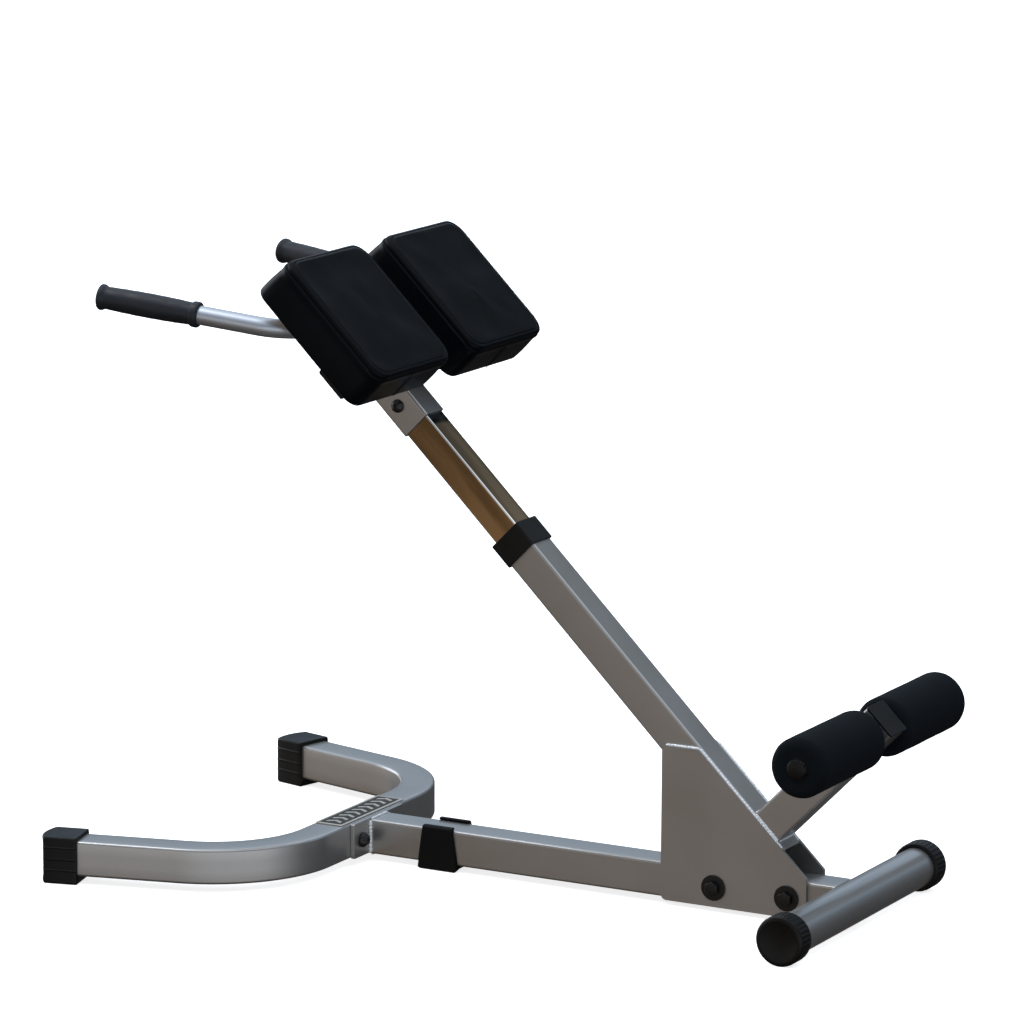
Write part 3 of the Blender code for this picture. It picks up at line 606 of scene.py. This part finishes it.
def frame_welds():
    top, rear_ring = 228.0, 29.2
    flange = (FLANGE_X + 1.2) * MM
    top_along = (top - 35.65 + 0.65 + UP.x * 23.5) / UP.z
    for side, sign in SIDES:
        y = sign * 26.6
        corner = leaning(top_along, y, 23.9)
        start = Vector(((REAR_X - 281) * MM + 0.004, y * MM, top * MM))
        bead(f"weld_gusset_top_{side}", [start, Vector((corner.x, y * MM, top * MM))], 2.7, "frame", sign)
        bead(f"weld_gusset_slope_{side}", [corner, leaning(72, y, 23.9)], 2.5, "frame", sign + 3)
        ends = [Vector((flange, sign * 26.4 * MM, z * MM)) for z in (11, 59.5)]
        bead(f"weld_flange_{side}", ends, 2.9, "frame", sign + 5)
        arc = []
        for i in range(9):
            t = math.radians(-38 + 76 * i / 8)
            arc.append(Vector(((REAR_X - rear_ring * math.cos(t)) * MM, sign * 25.9 * MM,
                               (35 + rear_ring * math.sin(t)) * MM)))
        bead(f"weld_rear_{side}", arc, 2.0, "frame", sign + 7)
        ends = [leaning(along, sign * 25.0, 26.2) for along in (84.5, 132.5)]
        bead(f"weld_arm_{side}", ends, 2.0, "frame", sign + 9)
        ends = [leaning(946.4 + sign * 25.6, across, 26.3) for across in (-24, 24)]
        bead(f"weld_support_{side}", ends, 1.9, "carriage", sign + 11)
        ends = [leaning(1035 + sign * 6.5, across, 27.2) for across in (-22, 22)]
        bead(f"weld_bar_{side}", ends, 2.0, "carriage", sign + 13)
    for tag, z in (("top", 61.0), ("low", 9.0)):
        ends = [Vector((flange, across * MM, z * MM)) for across in (-23, 23)]
        bead(f"weld_flange_{tag}", ends, 1.8, "frame", z)
    for tag, along in (("low", 83.4), ("high", 133.8)):
        ends = [leaning(along, across, 26.2) for across in (-23, 23)]
        bead(f"weld_arm_{tag}", ends, 2.0, "frame", along)


tube_path = front_tube()
front_end(tube_path)
for side_name, side_sign in SIDES:
    rear_cap(side_name, side_sign)
mid_foot()
nameplate()
bolts()
frame_welds()


# ---------------------------------------------------------------- handles and rollers

def handlebar():
    origin = leaning(1035, 0, TUBE / 2 + 0.3 + 13.5)
    corner = Vector((origin.x, 0.200, origin.z))
    end = Vector(((REAR_X - 1057) * MM, 0.248, 0.822))
    cross, leg = Vector((0, 1, 0)), (end - corner).normalized()
    turn = cross.angle(leg)
    back = 0.062 * math.tan(turn / 2)
    normal = cross.cross(leg).normalized()
    centre = corner - cross * back + normal.cross(cross).normalized() * 0.062
    half = [(Vector((origin.x, 0, origin.z)), cross)]
    for i in range(25):
        spin = Matrix.Rotation(turn * i / 24, 3, normal)
        half.append((centre + spin @ (corner - cross * back - centre), spin @ cross))
    half.append((end - leg * 0.004, leg))
    flip = Matrix.Diagonal((1, -1, 1))
    path = [(flip @ p, -(flip @ h)) for p, h in reversed(half[1:])] + half
    swept("handlebar_skin", path, circle(13.5, 48), normal, SATIN, "carriage", "bar_steel", ["handlebar"], 50)
    for side, sign in SIDES:
        tab = [[leaning(1044 + a, sign * 134.5 + b, off) for a, b in rounded(27, 17, 4)] for off in (52.3, 55.7)]
        build(f"pad_tab_{side}", *skin(tab), SATIN, "carriage", "bar_steel", (), 40, 0.0004)
        heading = Vector((leg.x, sign * leg.y, leg.z))
        grip(side, Vector((end.x, sign * end.y, end.z)), -heading)


def grip(side, origin, axis):
    """Slightly barrelled rubber grip, with a rolled bead at each end."""
    profile = [(-0.6, 0), (-0.5, 6), (0.0, 12), (0.6, 15), (1.6, 17.0), (3.2, 18.3), (5.2, 18.6), (7.2, 18.2),
               (9.2, 17.2), (11.2, 16.2), (13.5, 15.8)]
    for i in range(1, 24):
        s = i / 24
        profile.append((13.5 + 125 * s, 15.8 + 1.5 * math.sin(math.pi * s) ** 0.8))
    profile += [(138.8, 15.8), (140.0, 15.8), (140.8, 16.6), (141.6, 17.7), (143.4, 18.2), (148.5, 18.3),
                (150.4, 17.9), (151.6, 16.9), (152.0, 15.6), (152.0, 13.9), (2.7, 13.9), (2.7, 0)]

    def fine(t, r, a):
        if not (14 < t < 138 and r > 15):
            return 0.0
        where = Vector((t * 0.09, math.cos(a) * 1.6, math.sin(a) * 1.6))
        return 0.10 * math.sin(t * 2.1) + 0.10 * noise.noise(where)
    turned(f"grip_{side}_skin", origin, axis, profile, GRIP, "carriage", "grip_rubber", [f"grip_{side}"],
           72, fine, 60)


def roller(side, sign):
    """Foam sleeve: softly rounded ends that tuck in at the core, and a slightly uneven skin."""
    low, high, full, core = 34.5, 231.0, 42.0, 15.3
    profile = [(low + 0.8, core), (low + 0.2, 20), (low, 27)]
    edge = 12.0
    for i in range(9):
        t = math.radians(90 * i / 8)
        profile.append((low + edge - edge * math.cos(t), full - edge + edge * math.sin(t)))
    profile += [(low + edge + (high - low - 2 * edge) * i / 30, full) for i in range(1, 30)]
    for i in range(9):
        t = math.radians(90 - 90 * i / 8)
        profile.append((high - edge + edge * math.cos(t), full - edge + edge * math.sin(t)))
    profile += [(high, 27), (high - 0.2, 20), (high - 0.8, core)]

    def soft(t, r, a):
        where = Vector((t * 0.016 + sign * 7, math.cos(a) * 1.1, math.sin(a) * 1.1))
        fine = Vector((t * 0.06 + sign * 3, math.cos(a) * 3.5, math.sin(a) * 3.5))
        return (0.55 * noise.noise(where) + 0.16 * noise.noise(fine) - 0.25) * min(1.0, (r - core) / 12)
    body = "roller_left" if sign < 0 else "roller_right"
    piece = turned(f"roller_foam_{side}_skin", AXLE.copy(), (0, sign, 0), profile, FOAM, body, "foam",
                   [f"roller_foam_{side}"], 96, soft, 80)


handlebar()
for side_name, side_sign in SIDES:
    roller(side_name, side_sign)


# ---------------------------------------------------------------- pads

PAD_MID = ((883.0 + 1106.0) / 2, (28.0 + 241.0) / 2)
PAD_HALF = (111.5, 106.5)
SEAMS = ((58.0, 3.2), (66.4, 9.4))


def pad_rows():
    """Rows of (height, inset, corner radius, pinned), from the board's pocket out and up to the crown."""
    rows = [(11.7, 13.6, 14, 1), (0.2, 13.6, 14, 1), (0.0, 11, 15, 1), (0.0, 7, 17, 1), (0.2, 4.2, 19, 1),
            (1.2, 2.4, 20, 1), (3.0, 1.6, 21, 0.6)]
    rows += [(6.0 + 6.0 * i, 1.4 + 0.05 * i * i, 22, 0) for i in range(8)]
    low, high = SEAMS
    rows += [(low[0] + h, low[1] + inset, 22, pin)
             for h, inset, pin in ((-3.6, -0.6, 0.2), (-1.5, 0.3, 0.8), (-0.6, 1.6, 1), (0.1, 2.6, 1),
                                   (0.7, 1.9, 1), (1.9, 0.7, 0.9), (4.4, 1.3, 0.5), (6.6, 3.0, 0.9))]
    rows += [(high[0] + h, high[1] + inset, radius, pin)
             for h, inset, radius, pin in ((-0.5, -1.0, 22, 1), (-1.0, 0.2, 22, 1), (-0.9, 0.8, 22, 1),
                                           (0.3, 1.5, 21, 0.8), (1.6, 3.4, 21, 0.3))]
    for i in range(1, 18):
        s = i / 17
        crown = 4.0 * math.sin(s * math.pi / 2)
        rows.append((high[0] + 1.6 + crown, high[1] + 3.4 + 88 * s, max(4, 21 - 17 * s), 0))
    return rows


def pad_ring(inset, radius, per_side=30, per_corner=9):
    """Rounded rectangle with a fixed number of points, so that rings of any size pair up."""
    a, b = PAD_HALF[0] - inset, PAD_HALF[1] - inset
    radius = min(radius, a * 0.9, b * 0.9)
    ring = []
    for ca, cb, start, nxt in ((1, 1, 0, (-1, 1)), (-1, 1, 90, (-1, -1)), (-1, -1, 180, (1, -1)),
                               (1, -1, 270, (1, 1))):
        for i in range(per_corner):
            t = math.radians(start + 90 * i / (per_corner - 1))
            ring.append((ca * (a - radius) + radius * math.cos(t), cb * (b - radius) + radius * math.sin(t)))
        t = math.radians(start + 90)
        end = (ca * (a - radius) + radius * math.cos(t), cb * (b - radius) + radius * math.sin(t))
        to = (nxt[0] * (a - radius) + radius * math.cos(t), nxt[1] * (b - radius) + radius * math.sin(t))
        for i in range(1, per_side):
            s = i / per_side
            ring.append((end[0] + (to[0] - end[0]) * s, end[1] + (to[1] - end[1]) * s))
    return ring


def pad_point(sign, a, b, h):
    a += 4.5 * max(0.0, -a / PAD_HALF[0]) ** 2 * max(0.0, 1 - h / SEAMS[0][0])
    return leaning(PAD_MID[0] + a, sign * PAD_MID[1] + b, 56.0 + h)


def pad(side, sign):
    rings, hold = [], []
    for h, inset, radius, pin in pad_rows():
        ring = pad_ring(inset, radius)
        points = []
        for a, b in ring:
            where = Vector((a * 0.02, b * 0.02, sign * 5.0 + h * 0.05))
            points.append(pad_point(sign, a, b, h + 1.1 * noise.noise(where) * (1 - pin)))
        rings.append(points)
        hold += [pin] * len(ring)
    verts, faces = skin(rings)
    mesh = bpy.data.meshes.new(f"pad_{side}_skin")
    mesh.from_pydata([tuple(v) for v in verts], [], faces)
    work = bmesh.new()
    work.from_mesh(mesh)
    bmesh.ops.recalc_face_normals(work, faces=work.faces)
    work.to_mesh(mesh)
    work.free()
    mesh.materials.append(VINYL)
    mesh.shade_smooth()
    obj = bpy.data.objects.new(f"pad_{side}_skin", mesh)
    bpy.context.scene.collection.objects.link(obj)
    inflate(obj, hold)
    smooth = obj.modifiers.new("smooth", "SUBSURF")
    smooth.levels = smooth.render_levels = 1
    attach(obj, "carriage")
    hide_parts(f"pad_{side}")
    stitches(side, sign)
    butt_seam(side, sign)


def inflate(obj, hold, cap=0.0045):
    """Lets the cover swell off its seams as cloth under pressure, moved no further than cap."""
    rest = [v.co.copy() for v in obj.data.vertices]
    pins = obj.vertex_groups.new(name="pins")
    for i, weight in enumerate(hold):
        if weight > 0:
            pins.add([i], weight, "REPLACE")
    cloth = obj.modifiers.new("cloth", "CLOTH")
    settings = cloth.settings
    settings.quality = 6
    settings.mass = 0.4
    settings.tension_stiffness = settings.compression_stiffness = 30
    settings.shear_stiffness = 12
    settings.bending_stiffness = 25
    settings.use_pressure = True
    settings.uniform_pressure_force = 4.0
    settings.vertex_group_mass = "pins"
    settings.effector_weights.gravity = 0
    cloth.collision_settings.use_collision = False
    scene = bpy.context.scene
    for number in range(1, 21):
        scene.frame_set(number)
    graph = bpy.context.evaluated_depsgraph_get()
    moved = [v.co.copy() for v in obj.evaluated_get(graph).data.vertices]
    obj.modifiers.remove(cloth)
    scene.frame_set(1)
    steps = np.array([after - before for before, after in zip(rest, moved)])
    length = np.linalg.norm(steps, axis=1, keepdims=True)
    steps *= np.minimum(1.0, cap / np.maximum(length, 1e-9))
    ends = np.array([edge.vertices[:] for edge in obj.data.edges])
    share = np.zeros(len(rest))
    np.add.at(share, ends.ravel(), 1)
    free = 1 - np.array(hold)[:, None]
    for _ in range(60):
        total = np.zeros_like(steps)
        np.add.at(total, ends[:, 0], steps[ends[:, 1]])
        np.add.at(total, ends[:, 1], steps[ends[:, 0]])
        steps += free * (total / share[:, None] - steps) * 0.9
    for vertex, before, step in zip(obj.data.vertices, rest, steps):
        vertex.co = before + Vector(step)
    obj.data.update()


def stitches(side, sign):
    """Short thread stitches on both sides of the edge band."""
    verts, faces = [], []
    for (height, inset), lift, gap in ((SEAMS[0], -2.6, 0.25), (SEAMS[1], 1.6, 2.5)):
        ring = spread(pad_ring(inset + gap, 22), 4.2)
        for i in range(len(ring)):
            a, b = ring[i], ring[(i + 1) % len(ring)]
            start, end = (Vector(pad_point(sign, *p, height + lift)) for p in (a, b))
            run = end - start
            if run.length < 0.002:
                continue
            ahead = run.normalized()
            side_way = ahead.cross(OUT).normalized()
            base = len(verts)
            for s, r in ((0.12, 0.1), (0.28, 0.32), (0.72, 0.32), (0.88, 0.1)):
                p = start + run * s
                verts += [p + (side_way * math.cos(t) + OUT * math.sin(t)) * (r * MM)
                          for t in (math.tau * k / 6 for k in range(6))]
            for low in range(base, base + 18, 6):
                for k in range(6):
                    n = (k + 1) % 6
                    faces.append((low + k, low + n, low + 6 + n, low + 6 + k))
            faces += [tuple(base + k for k in range(6)), tuple(base + 18 + k for k in range(6))]
    build(f"pad_stitches_{side}", verts, faces, THREAD, "carriage", "vinyl", (), 60)


def butt_seam(side, sign):
    """The boxing strip's closing seam, down the middle of the lower end."""
    points = []
    for i in range(25):
        s = i / 24
        h = 2.5 + 53 * s
        b = 6.0 - 9.0 * s
        points.append(pad_point(sign, -PAD_HALF[0] + 1.2 + 2.4 * s ** 3 - 0.2, b, h))
    rings = []
    for i, p in enumerate(points):
        ahead = (points[min(i + 1, 24)] - points[max(i - 1, 0)]).normalized()
        side_way = Vector((0, 1, 0))
        other = ahead.cross(side_way)
        rings.append([p + side_way * (0.9 * MM * math.cos(t)) + other * (0.5 * MM * math.sin(t))
                      for t in (math.tau * k / 8 for k in range(8))])
    build(f"pad_butt_seam_{side}", *skin(rings), SEAM, "carriage", "vinyl", (), 60)


for side_name, side_sign in SIDES:
    pad(side_name, side_sign)


# ---------------------------------------------------------------- floor and light

# The room's colour by height, from 0 straight down to 1 straight up, on each of its walls.
CEILING = ((0.84, (0.58, 0.66, 0.75)), (0.90, (1.3, 1.4, 1.52)), (1.0, (1.3, 1.4, 1.52)))
NEAR_WALL = ((0.0, (0.05, 0.035, 0.024)), (0.36, (0.22, 0.17, 0.12)), (0.42, (0.80, 0.73, 0.67)),
             (0.50, (0.97, 0.92, 0.88)), (0.62, (0.36, 0.37, 0.38)), (0.74, (0.20, 0.22, 0.25)))
SIDE_WALL = ((0.0, (0.06, 0.045, 0.035)), (0.34, (0.40, 0.38, 0.36)), (0.41, (1.60, 1.68, 1.78)),
             (0.50, (1.20, 1.27, 1.35)), (0.62, (0.38, 0.40, 0.43)), (0.74, (0.20, 0.22, 0.25)))
FAR_WALL = ((0.0, (0.05, 0.04, 0.03)), (0.42, (0.07, 0.072, 0.078)), (0.52, (0.13, 0.13, 0.13)),
            (0.61, (0.17, 0.22, 0.28)), (0.70, (0.53, 0.69, 0.87)), (0.79, (0.53, 0.69, 0.87)))

# Soft round cards on the walls: direction, cosine at the full colour, cosine at the rim, colour.
CARDS = (((-0.47, -0.86, -0.20), 0.991, 0.973, (0.145, 0.083, 0.037)),
         ((0.19, 0.86, 0.47), 0.993, 0.974, (0.115, 0.100, 0.075)),
         ((-0.93, 0.12, 0.27), 0.965, 0.900, (3.0, 3.2, 3.5)))


def wall_ramp(nt, height, stops):
    ramp = nt.nodes.new("ShaderNodeValToRGB")
    stops += CEILING
    while len(ramp.color_ramp.elements) < len(stops):
        ramp.color_ramp.elements.new(0.5)
    for element, (at, colour) in zip(ramp.color_ramp.elements, stops):
        element.position, element.color = at, (*colour, 1)
    nt.links.new(height, ramp.inputs["Fac"])
    return ramp.outputs["Color"]


def studio():
    mesh = bpy.data.meshes.new("floor")
    mesh.from_pydata([(-60, -60, 0), (60, -60, 0), (60, 60, 0), (-60, 60, 0)], [], [(0, 1, 2, 3)])
    floor = bpy.data.objects.new("floor", mesh)
    bpy.context.scene.collection.objects.link(floor)
    mat, nt, shader = tree("floor_pale", Base_Color=(0.90, 0.90, 0.90), Roughness=0.9, Specular_IOR_Level=0.0,
                           Emission_Color=(1.0, 1.0, 1.0), Emission_Strength=0.78)
    bump(nt, shader, (noise_of(nt, coords(nt), 30, 3), 0.05, 0.001))
    mesh.materials.append(mat)
    floor.visible_glossy = floor.visible_diffuse = False

    world = bpy.data.worlds.new("studio")
    bpy.context.scene.world = world
    world.use_nodes = True
    nt = world.node_tree
    nt.nodes.clear()
    place = nt.nodes.new("ShaderNodeTexCoord")
    split = nt.nodes.new("ShaderNodeSeparateXYZ")
    nt.links.new(place.outputs["Generated"], split.inputs["Vector"])
    height = span(nt, split.outputs["Z"], -1, 1, 0, 1)
    near, side, far = (wall_ramp(nt, height, stops) for stops in (NEAR_WALL, SIDE_WALL, FAR_WALL))
    last = blend_colour(nt, span(nt, split.outputs["X"], -0.45, 0.45, 0, 1), near, side)
    last = blend_colour(nt, span(nt, split.outputs["Y"], -0.25, 0.35, 0, 1), last, far)
    for towards, inner, outer, colour in CARDS:
        facing = dot(nt, place.outputs["Generated"], Vector(towards).normalized())
        last = blend_colour(nt, span(nt, facing, outer, inner, 0, 1), last, colour)
    room = nt.nodes.new("ShaderNodeBackground")
    nt.links.new(last, room.inputs["Color"])
    white = nt.nodes.new("ShaderNodeBackground")
    seen = nt.nodes.new("ShaderNodeLightPath")
    choose = nt.nodes.new("ShaderNodeMixShader")
    out = nt.nodes.new("ShaderNodeOutputWorld")
    nt.links.new(seen.outputs["Is Camera Ray"], choose.inputs["Fac"])
    nt.links.new(room.outputs["Background"], choose.inputs[1])
    nt.links.new(white.outputs["Background"], choose.inputs[2])
    nt.links.new(choose.outputs["Shader"], out.inputs["Surface"])

    for name, where, size, power, colour in (
            ("overhead", (-1.5, -0.7, 3.4), (1.0, 0.6), 20, (0.94, 0.97, 1.0)),
            ("back", (-1.6, 3.4, 2.6), (2.0, 0.8), 5, (0.88, 0.94, 1.0))):
        data = bpy.data.lights.new(name, "AREA")
        data.shape, data.size, data.size_y = "RECTANGLE", size[0], size[1]
        data.energy, data.color = power, colour
        light = bpy.data.objects.new(name, data)
        light.location = where
        light.rotation_euler = (Vector((0, 0, 0.4)) - Vector(where)).to_track_quat("-Z", "Y").to_euler()
        bpy.context.scene.collection.objects.link(light)
    bpy.context.scene.view_settings.view_transform = "Standard"


studio()

bpy.context.view_layer.update()
